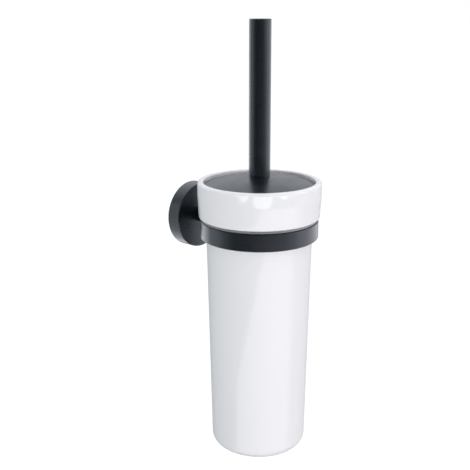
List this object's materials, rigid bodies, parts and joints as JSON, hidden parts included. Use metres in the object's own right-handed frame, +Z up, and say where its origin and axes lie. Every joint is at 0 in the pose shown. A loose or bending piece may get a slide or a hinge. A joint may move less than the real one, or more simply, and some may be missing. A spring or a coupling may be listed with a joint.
{
  "type": "toilet brush holder",
  "caption": "Wall-mounted toilet brush set: a tapered glazed container hangs by its collar in a black ring on a wall rosette, with a lidded brush standing in it.",
  "frame": {"origin": "centre of the rosette's back, on the wall", "axes": "+Y points into the wall, the set reaches from the wall towards -Y, +Z is up, +X is to the right for a person facing the wall"},
  "size_m": [0.1044, 0.1322, 0.3698],
  "materials": {
    "black_metal": "satin powder coat",
    "zinc": "as cast, zinc alloy",
    "steel": "stainless",
    "ceramic": "glossy white glaze",
    "clear_silicone": "translucent, satin",
    "black_rubber": "matte",
    "brass": "turned",
    "head_plastic": "moulded, fine grain",
    "bristle": "nylon or polypropylene bristle"
  },
  "bodies": {
    "wall_mount": {"wall_plate": "zinc", "rosette": "black_metal", "rosette_set_screw": "steel", "arm": "black_metal", "arm_screws": "steel", "ring": "black_metal", "ring_gasket": "clear_silicone"},
    "container": {"container": "ceramic"},
    "brush": {"lid": "black_metal", "lid_ring": "clear_silicone", "handle_tube": "black_metal", "handle_cap": "black_metal", "handle_insert": "steel", "rod": "steel", "lid_washer": "black_rubber", "lid_nut": "steel"},
    "head_thread": {"head_insert": "brass"},
    "brush_head": {"head_core": "head_plastic", "side_bristles": "bristle", "end_bristles": "bristle"}
  },
  "joints": [
    {"name": "container_lift", "type": "slide", "parent": "wall_mount", "child": "container", "axis": [0, 0, 1], "range_m": [0, 0.215]},
    {"name": "brush_lift", "type": "slide", "parent": "container", "child": "brush", "axis": [0, 0, 1], "range_m": [0, 0.225]},
    {"name": "head_travel", "type": "slide", "parent": "brush", "child": "head_thread", "axis": [0, 0, -1], "range_m": [0, 0.0151]},
    {"name": "head_turn", "type": "hinge", "parent": "head_thread", "child": "brush_head", "pos_m": [0, -0.08, -0.09], "axis": [0, 0, -1], "range_deg": [0, 4320]}
  ],
  "couplings": [
    {"joint": "head_travel", "follows": "head_turn", "m_per_rad": 0.00019894}
  ]
}
